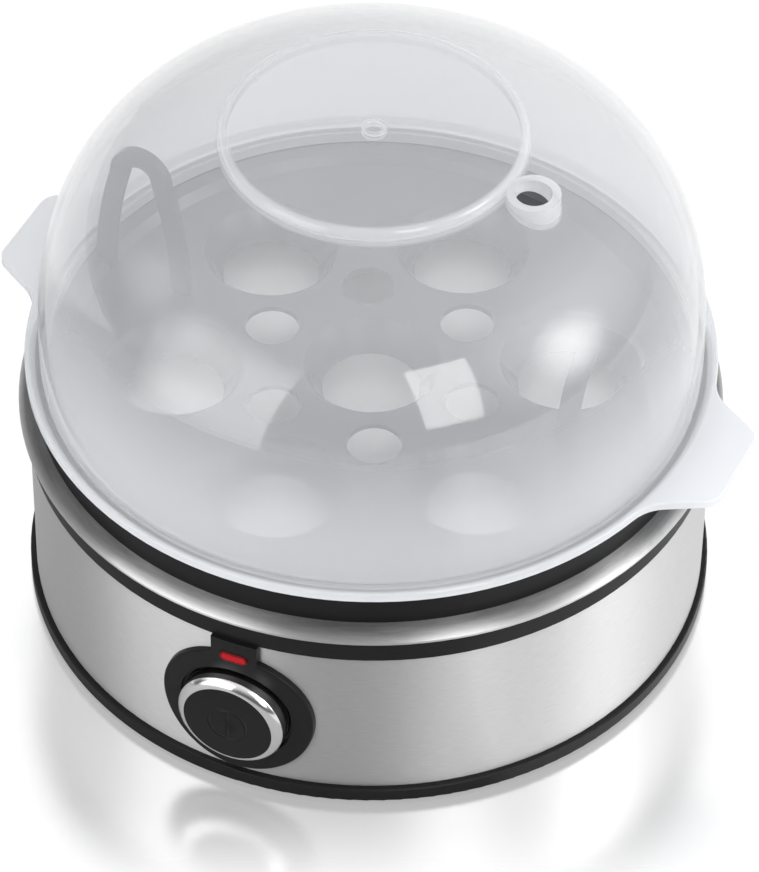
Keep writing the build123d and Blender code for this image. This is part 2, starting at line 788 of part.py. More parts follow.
# Button cap with the stem behind it
with BuildPart() as button_cap:
    with BuildSketch(Plane.YZ):
        with BuildLine():
            cap_ball = (cap_r**2 + cap_dome**2) / (2 * cap_dome)
            half_sag = cap_ball - sqrt(cap_ball**2 - (cap_r / 2)**2)
            Polyline(
                (-cap_y, plate_centre + cap_r), (-cap_back, plate_centre + cap_r),
                (-cap_back, plate_centre + cap_flange_r), (-flange_back, plate_centre + cap_flange_r),
                (-flange_back, plate_centre + stem_diameter / 2),
                (-stem_end, plate_centre + stem_diameter / 2), (-stem_end, plate_centre),
                (-button_reach, plate_centre),
            )
            ThreePointArc(
                (-button_reach, plate_centre), (half_sag - button_reach, plate_centre + cap_r / 2),
                (-cap_y, plate_centre + cap_r),
            )
        make_face()
    revolve(axis=button_axis)
button_cap.part.label = "button_cap"

# Return spring round the stem, between the cap and the well's floor
with BuildPart() as button_spring:
    spring_end = flange_back - spring_wire / 2 - spring_play
    spring_run = spring_end - well_back - well_floor - spring_wire / 2 - spring_play
    with BuildLine() as coil:
        Helix(pitch=spring_run / spring_turn_count, height=spring_run,
              radius=(spring_diameter - spring_wire) / 2,
              center=(0, -spring_end, plate_centre), direction=(0, 1, 0))
    coil_path = coil.wires()[0]
    with BuildSketch(Plane(origin=coil_path @ 0, z_dir=coil_path % 0)):
        RegularPolygon(spring_wire / 2, wire_side_count)
    sweep(path=coil_path, is_frenet=True)
button_spring.part.label = "button_spring"

# Indicator lens, its lamp and the lamp's holder on top of the well
with BuildPart() as indicator_lens:
    with BuildSketch(front(holder_y)):
        with Locations((0, lens_z)):
            SlotOverall(lens_width, lens_height)
    extrude(amount=lens_depth)
    fillet(indicator_lens.faces().sort_by(Axis.Y)[0].edges(), radius=lens_proud)
indicator_lens.part.label = "indicator_lens"

lamp_z = plate_centre + well_r + holder_height / 2
lamp_y = holder_y - holder_depth / 2
with BuildPart() as lamp_holder:
    with BuildSketch(front(holder_y)):
        with Locations((0, plate_centre + (well_r + holder_height) / 2)):
            Rectangle(tab_width, well_r + holder_height)
        with Locations((0, plate_centre)):
            Rectangle(tab_width, 2 * (well_r - well_wall), mode=Mode.SUBTRACT)
            Circle(well_r, mode=Mode.SUBTRACT)
        with Locations((0, lamp_z)):
            Rectangle(tab_width / 2, window_height, mode=Mode.SUBTRACT)
    extrude(amount=-holder_depth / 2)
    with BuildSketch(front(lamp_y)):
        with Locations((0, plate_centre + (well_r + holder_height) / 2)):
            Rectangle(tab_width, well_r + holder_height)
        with Locations((0, plate_centre)):
            Rectangle(tab_width, 2 * (well_r - well_wall), mode=Mode.SUBTRACT)
            Circle(well_r, mode=Mode.SUBTRACT)
    extrude(amount=-holder_depth / 2)
    with BuildSketch(Plane.YZ):
        with Locations((-lamp_y, lamp_z)):
            Circle(lamp_diameter / 2 + press_gap)
    extrude(amount=tab_width, both=True, mode=Mode.SUBTRACT)
lamp_holder.part.label = "lamp_holder"

with BuildPart() as neon_lamp:
    with BuildSketch(Plane.YZ):
        with Locations((-lamp_y, lamp_z)):
            Circle(lamp_diameter / 2)
    extrude(amount=lamp_length / 2, both=True)
    fillet(neon_lamp.edges().filter_by(GeomType.CIRCLE), radius=lamp_round)
neon_lamp.part.label = "neon_lamp"

# Push switch: body, plunger and the cradle that holds it
with BuildPart() as switch_body:
    with BuildSketch(front(switch_y)):
        with Locations((0, plate_centre)):
            Rectangle(switch_width, switch_height)
    extrude(amount=-switch_length)
    chamfer(switch_body.edges().filter_by(Axis.Y), length=switch_edge)
    with BuildSketch(front(switch_y)):
        with Locations((0, plate_centre)):
            Rectangle(plunger_side + 2 * slide_gap, plunger_side + 2 * slide_gap)
    extrude(amount=-(plunger_length - plunger_stand + button_travel + slide_gap),
            mode=Mode.SUBTRACT)
    with BuildSketch(front(switch_y - switch_length)):
        with Locations((0, plate_centre)):
            with GridLocations(blade_spacing, 0, 2, 1):
                Rectangle(blade_sheet, blade_width)
    extrude(amount=-blade_length)
switch_body.part.label = "switch_body"

with BuildPart() as switch_plunger:
    with BuildSketch(front(stem_end)):
        with Locations((0, plate_centre)):
            Rectangle(plunger_side, plunger_side)
    extrude(amount=-plunger_length)
    chamfer(switch_plunger.faces().sort_by(Axis.Y)[-1].edges(), length=plunger_edge)
switch_plunger.part.label = "switch_plunger"

with BuildPart() as switch_cradle:
    with BuildSketch(front(switch_y - cradle_length)):
        seat_width = switch_width + 2 * press_gap
        with Locations((0, (floor_z + switch_low + cradle_sill) / 2)):
            Rectangle(seat_width + 2 * cradle_wall, switch_low + cradle_sill - floor_z)
        with Locations((0, switch_low + cradle_sill / 2)):
            Rectangle(seat_width, cradle_sill, mode=Mode.SUBTRACT)
        with Locations((0, (floor_z + switch_low) / 2)):
            Rectangle(switch_width - 2 * cradle_wall, switch_low - floor_z - 2 * cradle_wall,
                      mode=Mode.SUBTRACT)
    extrude(amount=cradle_length - cradle_wall)
switch_cradle.part.label = "switch_cradle"

# Heating element: a bent tube under the bowl's floor with a pin at each end
element_z = plate_under - tube_diameter / 2
first_turn = radians(90 + (360 - element_sweep) / 2)
last_turn = radians(90 - (360 - element_sweep) / 2)


def element_end(turn, away):
    """A plane square to the tube at this angle, facing away from the tube's end."""
    return Plane(
        origin=(element_circle * cos(turn), element_circle * sin(turn), element_z),
        x_dir=(cos(turn), sin(turn), 0), z_dir=(-away * sin(turn), away * cos(turn), 0))


with BuildPart() as heating_element:
    with BuildSketch(element_end(first_turn, 1)):
        Circle(tube_diameter / 2)
    revolve(axis=Axis((0, 0, element_z), (0, 0, 1)), revolution_arc=element_sweep)
heating_element.part.label = "heating_element"

with BuildPart() as element_pins:
    with BuildSketch(element_end(first_turn, -1)):
        Circle(pin_diameter / 2)
    extrude(amount=pin_length)
    with BuildSketch(element_end(last_turn, 1)):
        Circle(pin_diameter / 2)
    extrude(amount=pin_length)
element_pins.part.label = "element_pins"

# Thermostat, the strap that presses it to the plate, its nuts and the thermal fuse
strap_top = plate_under - thermostat_flange_height
strap_under = strap_top - strap_sheet
with BuildPart() as thermostat:
    with BuildSketch(at_z(plate_under)):
        Circle(thermostat_flange / 2)
    extrude(amount=-thermostat_flange_height)
    with BuildSketch(at_z(strap_top)):
        Circle(thermostat_body / 2)
    extrude(amount=-thermostat_body_height)
thermostat.part.label = "thermostat"

with BuildPart() as thermostat_strap:
    with BuildSketch(at_z(strap_top)):
        SlotOverall(strap_length, strap_width)
        Circle(thermostat_body / 2 + press_gap, mode=Mode.SUBTRACT)
        with GridLocations(stud_spacing, 0, 2, 1):
            Circle(stud_diameter / 2 + press_gap, mode=Mode.SUBTRACT)
    extrude(amount=-strap_sheet)
thermostat_strap.part.label = "thermostat_strap"

with BuildPart() as stud_nuts:
    with BuildSketch(at_z(strap_under)):
        with GridLocations(stud_spacing, 0, 2, 1):
            RegularPolygon(nut_across / 2, 6, major_radius=False)
            Circle((stud_diameter + thread_slack) / 2, mode=Mode.SUBTRACT)
    extrude(amount=-nut_height)
stud_nuts.part.label = "stud_nuts"

fuse_x = (stud_spacing - nut_across + thermostat_body) / 4
with BuildPart() as thermal_fuse:
    with BuildSketch(Plane.XZ):
        with Locations((fuse_x, strap_under - fuse_diameter / 2)):
            Circle(fuse_diameter / 2)
    extrude(amount=fuse_length / 2, both=True)
    fillet(thermal_fuse.edges().filter_by(GeomType.CIRCLE), radius=fuse_round)
thermal_fuse.part.label = "thermal_fuse"

# Lead inlet: a bush through the sleeve and the nut inside
nut_corner = gland_nut / 2 / cos(radians(30))
nut_face = sqrt(sleeve_in**2 - nut_corner**2)
with BuildPart() as lead_inlet:
    with BuildSketch(Plane.YZ):
        with BuildLine():
            neck_end = nut_face - gland_nut_height - gland_thread
            Polyline(
                (neck_end, gland_z + gland_bore / 2), (button_reach, gland_z + gland_bore / 2),
                (button_reach, gland_z + gland_flange / 2 - gland_taper),
                (sleeve_r + gland_shoulder, gland_z + gland_flange / 2),
                (sleeve_r, gland_z + gland_flange / 2), (sleeve_r, gland_z + gland_neck / 2),
                (neck_end, gland_z + gland_neck / 2), close=True,
            )
        make_face()
    revolve(axis=gland_axis)
lead_inlet.part.label = "lead_inlet"

with BuildPart() as inlet_nut:
    with BuildSketch(back(nut_face - gland_nut_height)):
        with Locations((0, gland_z)):
            RegularPolygon(gland_nut / 2, 6, major_radius=False)
            Circle((gland_neck + thread_slack) / 2, mode=Mode.SUBTRACT)
    extrude(amount=gland_nut_height)
inlet_nut.part.label = "inlet_nut"

# Terminal block on the base's floor, with two screws to each way
way_z = floor_z + block_height / 2 - block_bore / 4
with BuildPart() as terminal_block:
    with BuildSketch(at_z(floor_z)):
        with Locations((0, block_place)):
            Rectangle(block_width, block_depth)
    extrude(amount=block_height)
    with BuildSketch(back(block_place - block_depth / 2)):
        with Locations((0, way_z)):
            with GridLocations(block_pitch, 0, block_way_count, 1):
                Circle(block_bore / 2)
    extrude(amount=block_depth, mode=Mode.SUBTRACT)
    with BuildSketch(at_z(floor_z + block_height)):
        with Locations((0, block_place)):
            with GridLocations(block_pitch, block_screw_spacing, block_way_count, screw_row_count):
                Circle((block_screw + thread_slack) / 2)
    extrude(amount=way_z - floor_z - block_height, mode=Mode.SUBTRACT)
terminal_block.part.label = "terminal_block"

with BuildPart() as terminal_screws:
    with BuildSketch(at_z(floor_z + block_height - block_screw_sink)):
        with Locations((0, block_place)):
            with GridLocations(block_pitch, block_screw_spacing, block_way_count, screw_row_count):
                Circle(block_screw / 2)
                Rectangle(block_screw, drive_width, mode=Mode.SUBTRACT)
    extrude(amount=-drive_depth)
    with BuildSketch(at_z(floor_z + block_height - block_screw_sink - drive_depth)):
        with Locations((0, block_place)):
            with GridLocations(block_pitch, block_screw_spacing, block_way_count, screw_row_count):
                Circle(block_screw / 2)
    extrude(amount=drive_depth - block_screw_length)
terminal_screws.part.label = "terminal_screws"

for piece in (
    base_pan, rubber_feet, base_screws, sleeve, trim_ring, bead, collar, collar_screws, bowl,
    egg_tray, lid, switch_plate, button_ring, button_cap, button_spring, indicator_lens,
    lamp_holder, neon_lamp, switch_body, switch_plunger, switch_cradle, heating_element,
    element_pins, thermostat, thermostat_strap, stud_nuts, thermal_fuse, lead_inlet, inlet_nut,
    terminal_block, terminal_screws,
):
    export_step(piece.part, f"parts/{piece.part.label}.step")
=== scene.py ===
# %% [markdown]
# # Dressing an egg cooker
# The CAD model gives the shapes. This lesson gives them their finishes, a copy of
# the button's spring, the studio round them and the camera. The first cell loads the
# model as a fixed frame.

# %% Load the cooker
import json
import math

import bmesh
import bpy
from mathutils import Matrix, Vector


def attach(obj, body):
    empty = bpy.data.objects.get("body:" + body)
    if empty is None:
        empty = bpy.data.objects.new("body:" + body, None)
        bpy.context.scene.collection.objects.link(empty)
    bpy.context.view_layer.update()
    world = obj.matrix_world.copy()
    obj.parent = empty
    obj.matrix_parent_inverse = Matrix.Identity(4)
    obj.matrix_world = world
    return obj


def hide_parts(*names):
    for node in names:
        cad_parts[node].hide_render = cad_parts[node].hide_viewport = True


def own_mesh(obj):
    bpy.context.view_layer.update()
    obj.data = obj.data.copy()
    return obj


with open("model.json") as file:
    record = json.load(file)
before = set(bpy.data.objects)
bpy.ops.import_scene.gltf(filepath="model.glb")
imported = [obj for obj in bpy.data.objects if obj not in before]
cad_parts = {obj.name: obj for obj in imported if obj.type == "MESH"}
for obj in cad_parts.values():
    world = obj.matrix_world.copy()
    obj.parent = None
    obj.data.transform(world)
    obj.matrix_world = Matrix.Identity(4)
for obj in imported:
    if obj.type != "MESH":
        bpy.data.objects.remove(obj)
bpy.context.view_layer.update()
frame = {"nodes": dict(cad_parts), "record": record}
MM = 0.001

# %% [markdown]
# ## The camera
# The picture was taken from high up with a long lens: the cooker's vertical walls
# hardly draw together. The camera looks 45 degrees down from a little to the right
# of the push button. Its shift stands for a picture that was cropped off centre.
# The frame, the point straight ahead and the focal length are counted in pixels.
# They come from fitting the cooker's rims, which are circles, to the picture. Two
# directions on the floor, away from the camera and to its right, are kept for the
# floor and the room.

# %% Set the camera up
FRAME_WIDTH, FRAME_HEIGHT = 759, 872
AHEAD_X, AHEAD_Y, FOCAL_LENGTH = 394.0, 434.1, 4895
CAMERA_PLACE = Vector((6.29, -930.3, 969.5)) * MM
CAMERA_TURN, CAMERA_DOWN, CAMERA_ROLL = 21.3, 44.86, 0.96
camera_data = bpy.data.cameras.new("camera")
camera_data.lens = FOCAL_LENGTH / FRAME_HEIGHT * camera_data.sensor_width
camera_data.shift_x = (FRAME_WIDTH / 2 - AHEAD_X) / FRAME_HEIGHT
camera_data.shift_y = (AHEAD_Y - FRAME_HEIGHT / 2) / FRAME_HEIGHT
camera_data.clip_start = 0.05
camera_data.clip_end = 20
camera = bpy.data.objects.new("camera", camera_data)
bpy.context.scene.collection.objects.link(camera)
camera_turn = Matrix.Rotation(math.radians(CAMERA_TURN), 4, "Z")
camera.matrix_world = (
    camera_turn
    @ Matrix.Translation(CAMERA_PLACE)
    @ Matrix.Rotation(math.radians(90 - CAMERA_DOWN), 4, "X")
    @ Matrix.Rotation(math.radians(CAMERA_ROLL), 4, "Z")
)
bpy.context.scene.camera = camera
toward = camera_turn.to_3x3() @ Vector((0.0, 1.0, 0.0))
right = camera_turn.to_3x3() @ Vector((1.0, 0.0, 0.0))
bpy.context.scene.view_settings.view_transform = "Standard"
print("camera at", [round(v, 3) for v in camera.matrix_world.translation])

# %% [markdown]
# ## Writing finishes as sums
# A finish in Blender is a tree of nodes. Most of its nodes are only arithmetic, so
# a small class wraps one output and lets Python's own signs add the Math nodes. The
# sum 1.0 - mask then reads as it would on paper, and needs no node by name.


# %% A wire
class Wire:
    """One output of a node. Sums on it add Math nodes to the same recipe."""

    def __init__(self, recipe, socket):
        self.recipe, self.socket = recipe, socket

    def sum(self, operation, *values):
        return self.recipe.step("ShaderNodeMath", {"operation": operation}, dict(enumerate(values)))

    def __add__(self, other):
        return self.sum("ADD", self, other)

    def __sub__(self, other):
        return self.sum("SUBTRACT", self, other)

    def __rsub__(self, other):
        return self.sum("SUBTRACT", other, self)

    def __mul__(self, other):
        return self.sum("MULTIPLY", self, other)

    def __truediv__(self, other):
        return self.sum("DIVIDE", self, other)

    def __pow__(self, other):
        return self.sum("POWER", self, other)

    def __gt__(self, other):
        return self.sum("GREATER_THAN", self, other)

    __radd__, __rmul__ = __add__, __mul__

    def size(self):
        return self.sum("ABSOLUTE", self)

    def least(self, other):
        return self.sum("MINIMUM", self, other)

    def rise(self, low, high):
        """0 below low, 1 above high and a soft step between them."""
        return self.recipe.step(
            "ShaderNodeMapRange", {"interpolation_type": "SMOOTHSTEP"},
            {"Value": self, "From Min": low, "From Max": high})


print("wire: sums of", [name for name in vars(Wire) if name.startswith("__r")])

# %% [markdown]
# ## A recipe
# A recipe holds the nodes of one finish. Its method step adds any node: it takes the
# node's type, its settings, which are set first, and the values or wires of its
# sockets. The other methods only save writing, such as the distance from an upright
# axis, which many masks on a round cooker need.


# %% A recipe
class Recipe:
    """The nodes of one finish, or of the world."""

    def __init__(self, owner):
        owner.use_nodes = True
        self.tree = owner.node_tree
        self.tree.nodes.clear()

    def step(self, kind, settings=None, sockets=None, out=0):
        node = self.tree.nodes.new(kind)
        for name, value in (settings or {}).items():
            setattr(node, name, value)
        for name, value in (sockets or {}).items():
            if isinstance(value, Wire):
                self.tree.links.new(value.socket, node.inputs[name])
            elif isinstance(value, tuple) and len(value) == 3 and node.inputs[name].type == "RGBA":
                node.inputs[name].default_value = (*value, 1)
            else:
                node.inputs[name].default_value = value
        return Wire(self, node.outputs[out]) if node.outputs else node

    def place(self, coordinate="Object"):
        return self.step("ShaderNodeTexCoord", out=coordinate)

    def part_of(self, vector, letter):
        return self.step("ShaderNodeSeparateXYZ", sockets={0: vector}, out=letter)

    def away(self, vector, x=0.0, y=0.0):
        """The distance from an upright axis through x, y."""
        across, along = self.part_of(vector, "X") - x, self.part_of(vector, "Y") - y
        return (across * across + along * along) ** 0.5

    def along(self, vector, direction):
        """How far vector reaches along a direction on the floor."""
        return self.part_of(vector, "X") * direction.x + self.part_of(vector, "Y") * direction.y

    def turn(self, vector):
        """The angle round the upright axis, in radians."""
        y = self.part_of(vector, "Y")
        return y.sum("ARCTAN2", y, self.part_of(vector, "X"))

    def vector(self, x, y, z):
        return self.step("ShaderNodeCombineXYZ", sockets={"X": x, "Y": y, "Z": z})

    def noise(self, vector, scale, detail=2.0, roughness=0.5):
        return self.step("ShaderNodeTexNoise", sockets={
            "Vector": vector, "Scale": scale, "Detail": detail, "Roughness": roughness})

    def blend(self, amount, first, second):
        sockets = {0: amount, 6: first, 7: second}
        return self.step("ShaderNodeMix", {"data_type": "RGBA"}, sockets, out=2)

    def bump(self, height, strength, distance):
        return self.step("ShaderNodeBump", sockets={
            "Height": height, "Strength": strength, "Distance": distance})

    def mix(self, amount, first, second):
        return self.step("ShaderNodeMixShader", sockets={0: amount, 1: first, 2: second})

    def light_path(self, ray):
        return self.step("ShaderNodeLightPath", out=ray)


print("recipe:", len([name for name in vars(Recipe) if name[0] != "_"]), "kinds of step")

# %% [markdown]
# ## Finishes by name
# Each finish is kept under its name, which for most is the name of a slot in the
# record. Most end in one Principled shader, Blender's surface for all purposes, so
# a second function closes a recipe with it.

# %% Finishes
finishes = {}


def new_finish(name):
    """An empty material and its recipe."""
    material = bpy.data.materials.new(name)
    finishes[name] = material
    return Recipe(material)


def shade(recipe, **values):
    """Ends a recipe in one Principled shader. Underscores in the names stand for spaces."""
    surface = recipe.step("ShaderNodeBsdfPrincipled", sockets={
        name.replace("_", " "): value for name, value in values.items()})
    recipe.step("ShaderNodeOutputMaterial", sockets={"Surface": surface})


print("finishes so far:", len(finishes))

# %% [markdown]
# ## Black moulded plastic
# The base, the trim ring, the collar and the plate round the button are one satin
# black moulding compound. Its mould was lightly blasted, which leaves a grain of a
# third of a millimetre, and its gloss wanders a little. The button's face carries
# the switch sign, a ring with a bar across it. The mould's maker cut it with a fine
# round cutter, so it is a groove in the face and is made as depth, not as colour.

# %% Black plastic
SIGN_UP = 27.7 * MM
SIGN_RADIUS = 5.2 * MM
SIGN_LINE = 1.1 * MM


def black_plastic(name, sign=False):
    black = new_finish(name)
    spot = black.place()
    grain = black.noise(spot, 3200, detail=2)
    wander = black.noise(spot, 38, detail=3)
    relief = black.bump(grain, 0.10, 0.00006)
    if sign:
        across, up = black.part_of(spot, "X"), black.part_of(spot, "Z") - SIGN_UP
        out = (across * across + up * up) ** 0.5
        ring = (out - SIGN_RADIUS).size()
        bar = across.size() + (out > SIGN_RADIUS)
        relief = black.step("ShaderNodeBump", sockets={
            "Height": ring.least(bar).rise(0.0, SIGN_LINE / 2),
            "Strength": 1.0, "Distance": 0.00035, "Normal": relief})
    shade(
        black,
        Base_Color=black.blend(wander, (0.006, 0.006, 0.0065), (0.010, 0.010, 0.011)),
        Roughness=0.27 + wander * 0.12 + grain * 0.05,
        Normal=relief,
        Specular_IOR_Level=0.17,
    )


black_plastic("black_plastic")
black_plastic("button_face", sign=True)
print("switch sign:", round(2000 * SIGN_RADIUS, 1), "mm across")

# %% [markdown]
# ## The brushed sleeve and bead
# Brushing is a great many fine scratches that all run round the cooker. Seen as a
# texture they are noise that changes fast up the wall and slowly round it, so the
# noise is read at the wall's own angle and height. It moves the gloss and the
# shade a little. Each scratch throws light up and down but not sideways, which is
# what the shader's anisotropy stands for, turned a quarter to lie up the wall. The
# bead is brushed finer. Along its upper edge, close under the collar, its colour is
# painted darker, a painted reflection of the dark collar above it.

# %% Brushed steel
BEAD_FOOT, BEAD_TOP = 61.2 * MM, 64.3 * MM
STRETCH_ROUND, STRETCH_UP = 0.5, 100
PAINTED_SHADE_TONE = (0.05, 0.05, 0.05)


def brushed_steel(name, dark, light, gloss, strokes, painted_shade_share=0.0):
    steel = new_finish(name)
    spot = steel.place()
    up = steel.part_of(spot, "Z")
    wall = steel.vector(steel.turn(spot) * STRETCH_ROUND, 0.0, up * STRETCH_UP)
    fine = steel.noise(wall, strokes, detail=4, roughness=0.7)
    broad = steel.noise(wall, strokes / 5)
    tone = steel.blend(fine, (dark, dark, dark), (light, light, light))
    # Painted shade: the bead's upper band is painted darker, for the dark collar it reflects.
    if painted_shade_share:
        painted_shade_mask = up.rise(BEAD_FOOT, BEAD_TOP) * (painted_shade_share + broad * 0.3)
        tone = steel.blend(painted_shade_mask, tone, PAINTED_SHADE_TONE)
    shade(
        steel,
        Base_Color=tone,
        Metallic=1.0,
        Roughness=gloss + fine * 0.10 + broad * 0.04,
        Anisotropic=0.9,
        Anisotropic_Rotation=0.25,
        Normal=steel.bump(fine, 0.25, 0.00008),
    )


brushed_steel("brushed_sleeve", 0.51, 0.77, 0.42, 42)
brushed_steel("bead_steel", 0.48, 0.80, 0.34, 60, painted_shade_share=0.60)
print("brushed: sleeve, and bead from", round(1000 * BEAD_FOOT, 1), "mm up")

# %% [markdown]
# ## The bowl, the button's ring and small steel
# The bowl is pressed from smooth sheet, and its inside, within the collar, has the
# dull pale coat of a heating plate. The ring is bright chrome. Screws and straps are
# plated. They differ in gloss and shade, so one function makes them all.


# %% Smooth metals
COATED, BARE = 85 * MM, 87 * MM


def smooth_metal(name, colour, gloss, scratch_scale=900.0, inside=None):
    metal = new_finish(name)
    spot = metal.place()
    scratches = metal.noise(spot, scratch_scale, detail=3)
    patches = metal.noise(spot, 30)
    shine = gloss + scratches * 0.06 + patches * 0.03
    tone = metal.blend(patches, tuple(0.94 * c for c in colour), colour)
    bare = 1.0
    if inside:
        within = 1.0 - metal.away(spot).rise(COATED, BARE)
        shine = shine + within * 0.3
        bare = 1.0 - within * 0.35
        tone = metal.blend(within, tone, inside)
    shade(
        metal,
        Base_Color=tone,
        Metallic=bare,
        Roughness=shine,
        Normal=metal.bump(scratches, 0.03, 0.00005),
    )


smooth_metal("bright_steel", (0.60, 0.60, 0.60), 0.26, inside=(0.92, 0.92, 0.92))
smooth_metal("chrome", (0.84, 0.84, 0.84), 0.11)
smooth_metal("screw_steel", (0.52, 0.52, 0.53), 0.22)
smooth_metal("cast_aluminium", (0.55, 0.56, 0.57), 0.34, 300.0)
print("metals:", [name for name in finishes if name not in ("black_plastic", "button_face")])

# %% [markdown]
# ## The grey tray
# The tray is a dark grey moulding with a fair gloss. Its colour wanders a little with
# the flow of the plastic in the mould, and fine pores break up its reflections. Two
# noises stand for these, one broad and one fine, and a thin coat gives the sharp
# lights on the loops.

# %% Grey plastic
tray = new_finish("grey_plastic")
mottle = tray.noise(tray.place(), 55, detail=3)
pores = tray.noise(tray.place(), 2600)
shade(
    tray,
    Base_Color=tray.blend(mottle, (0.060, 0.063, 0.072), (0.078, 0.082, 0.092)),
    Roughness=0.20 + mottle * 0.06,
    Normal=tray.bump(pores, 0.01, 0.00004),
    Specular_IOR_Level=0.45,
    Coat_Weight=0.35,
    Coat_Roughness=0.08,
)
print("tray: grey plastic")

# %% [markdown]
# ## The clear lid
# The lid is clear plastic with milk in it, so that a wall of it lets through less
# than half of the light and scatters the rest, both back and on through. Glass
# nodes would bend every ray twice at each thin wall and leave the tray in the dark,
# so each face of the wall is a mixture: some of it isn't there at all, the rest is
# milk, and over both lies the gloss of a smooth plastic, weak when seen straight on
# and strong at the dome's outline.
#
# Where the wall is thick there is more milk in the way. Masks stand for those
# places: low on the dome, the rim of the raised disc and the gate mark in its
# middle, the vent and the flange's edge. The photograph shows the disc's rim pale in
# front and faint behind, so its milk fades towards the back: a painted highlight on
# the rim's front, not a change in the wall.

# %% Where the wall is thick
GATE_RADIUS, DISC_RADIUS, FLANGE_RADIUS = 2.75 * MM, 38.7 * MM, 90.0 * MM
CROWN, DISC_EDGE, LOW_DOME = (140 * MM, 142 * MM), (147 * MM, 148.5 * MM), (80 * MM, 125 * MM)
PAINTED_FADE_DEPTHS, PAINTED_RIM_FADE = (-25 * MM, 12 * MM), 0.7
VENT, VENT_TURN = Vector((45.85, 0.0)) * MM, -7.5
VENT.rotate(Matrix.Rotation(math.radians(VENT_TURN), 2))
clear = new_finish("clear_plastic")
spot = clear.place()
up, out = clear.part_of(spot, "Z"), clear.away(spot)
gate = (1.0 - (out - GATE_RADIUS).size().rise(0.3 * MM, 0.8 * MM)) * up.rise(*CROWN)
disc_rim_and_painted_fade = (1.0 - (out - DISC_RADIUS).size().rise(0.5 * MM, 1.7 * MM)) * up.rise(*DISC_EDGE)
# Painted highlight: the rim's milk fades towards the back, so its front is painted paler.
disc_rim_and_painted_fade = disc_rim_and_painted_fade * (1.0 - clear.along(spot, toward).rise(*PAINTED_FADE_DEPTHS) * PAINTED_RIM_FADE)
vent_rim = (1.0 - clear.away(spot, *VENT).rise(6.6 * MM, 7.4 * MM)) * up.rise(*CROWN)
flange_edge = out.rise(FLANGE_RADIUS - 0.7 * MM, FLANGE_RADIUS + 0.8 * MM)
thick_and_painted = (gate + disc_rim_and_painted_fade + vent_rim + flange_edge).least(1.0)
low = 1.0 - up.rise(*LOW_DOME)
print("lid: thick at radii", [round(1000 * r, 2) for r in (GATE_RADIUS, DISC_RADIUS, FLANGE_RADIUS)])

# %% [markdown]
# ## The lid's wall
# A wall seen on edge is a longer way through, so it has more milk too. The milk
# throws a little over half of its light back and the rest on through the wall, which
# a Diffuse and a Translucent shader stand for. What isn't milk isn't there.

# %% Clear plastic
MILK, MILK_ON_EDGE, MILK_LOW, MILK_THICK = 0.25, 0.05, 0.22, 0.36
MILK_COLOUR, SCATTERED_ON = (0.89, 0.905, 0.93), 0.4
GLOSS, GLOSS_ON_EDGE = 0.05, 0.9
edge_on = clear.step("ShaderNodeLayerWeight", sockets={"Blend": 0.5}, out="Facing")
flow = clear.noise(spot, 14, detail=2)
back = clear.step("ShaderNodeBsdfDiffuse", sockets={"Color": MILK_COLOUR})
on = clear.step("ShaderNodeBsdfTranslucent", sockets={"Color": MILK_COLOUR})
milk = clear.mix(SCATTERED_ON, back, on)
nothing = clear.step("ShaderNodeBsdfTransparent", sockets={"Color": (1.0, 1.0, 1.0)})
share = MILK - 0.02 + flow * 0.04
share = share + edge_on * edge_on * MILK_ON_EDGE + low * MILK_LOW + thick_and_painted * MILK_THICK
gloss = clear.step("ShaderNodeBsdfGlossy", sockets={
    "Color": (1.0, 1.0, 1.0), "Roughness": 0.05 + flow * 0.03})
clear.step("ShaderNodeOutputMaterial", sockets={
    "Surface": clear.mix(
        GLOSS + edge_on**4.0 * GLOSS_ON_EDGE, clear.mix(share, nothing, milk), gloss)})
print("lid: milk per face", MILK, "and where thick", MILK + MILK_THICK)

# %% [markdown]
# ## Rubber, lens and the inner mouldings
# The rest is small or hidden, but each piece still has a surface of its own. One
# function makes the mouldings, which differ in colour, gloss and grain. The lamp's
# lens is a pill whose red is painted darker towards its rim, a painted shade for its
# rounded edge, so its colour goes by the distance from the pill's middle line.


# %% Small finishes
def moulding(name, dark, light, gloss, grain_scale, depth):
    plastic = new_finish(name)
    skin = plastic.noise(plastic.place(), grain_scale, detail=3)
    shade(
        plastic,
        Base_Color=plastic.blend(skin, dark, light),
        Roughness=gloss + skin * 0.1,
        Normal=plastic.bump(skin, 0.15, depth),
    )


moulding("rubber", (0.022, 0.022, 0.022), (0.034, 0.034, 0.034), 0.62, 1500, 0.0001)
moulding("pale_plastic", (0.66, 0.64, 0.58), (0.74, 0.72, 0.66), 0.38, 1200, 0.00005)
moulding("lamp_glass", (0.80, 0.82, 0.83), (0.88, 0.90, 0.91), 0.05, 400, 0.00001)

LENS_UP, LENS_HALF, LENS_ROUND = 48.2 * MM, 3.95 * MM, 1.65 * MM
red = new_finish("red_plastic")
spot = red.place()
along = (red.part_of(spot, "X").size() - (LENS_HALF - LENS_ROUND)).rise(0.0, LENS_ROUND) * LENS_ROUND
across = red.part_of(spot, "Z") - LENS_UP
to_rim = (along * along + across * across) ** 0.5 / LENS_ROUND
# Painted shade: the lens's red is painted darker towards its rim.
shade(
    red,
    Base_Color=red.blend(to_rim.rise(0.35, 0.9), (0.40, 0.004, 0.010), (0.08, 0.001, 0.003)),
    Roughness=0.22 + red.noise(spot, 700) * 0.08,
    Specular_IOR_Level=0.15,
)
print("finishes:", len(finishes))

# %% [markdown]
# ## Giving each piece its finish
# The record names a slot for every node, and the finishes above carry the slots'
# names, so one loop dresses the whole cooker. The button's face and the bead have
# finishes of their own.

# %% Dress the nodes
slots = {part["node"]: part["material_slot"] for part in frame["record"]["subparts"]}
slots["button_cap"] = "button_face"
slots["bead"] = "bead_steel"
for node, piece in frame["nodes"].items():
    piece.data.materials.clear()
    piece.data.materials.append(finishes[slots[node]])
print("dressed", len(slots), "nodes in", len(finishes), "finishes")
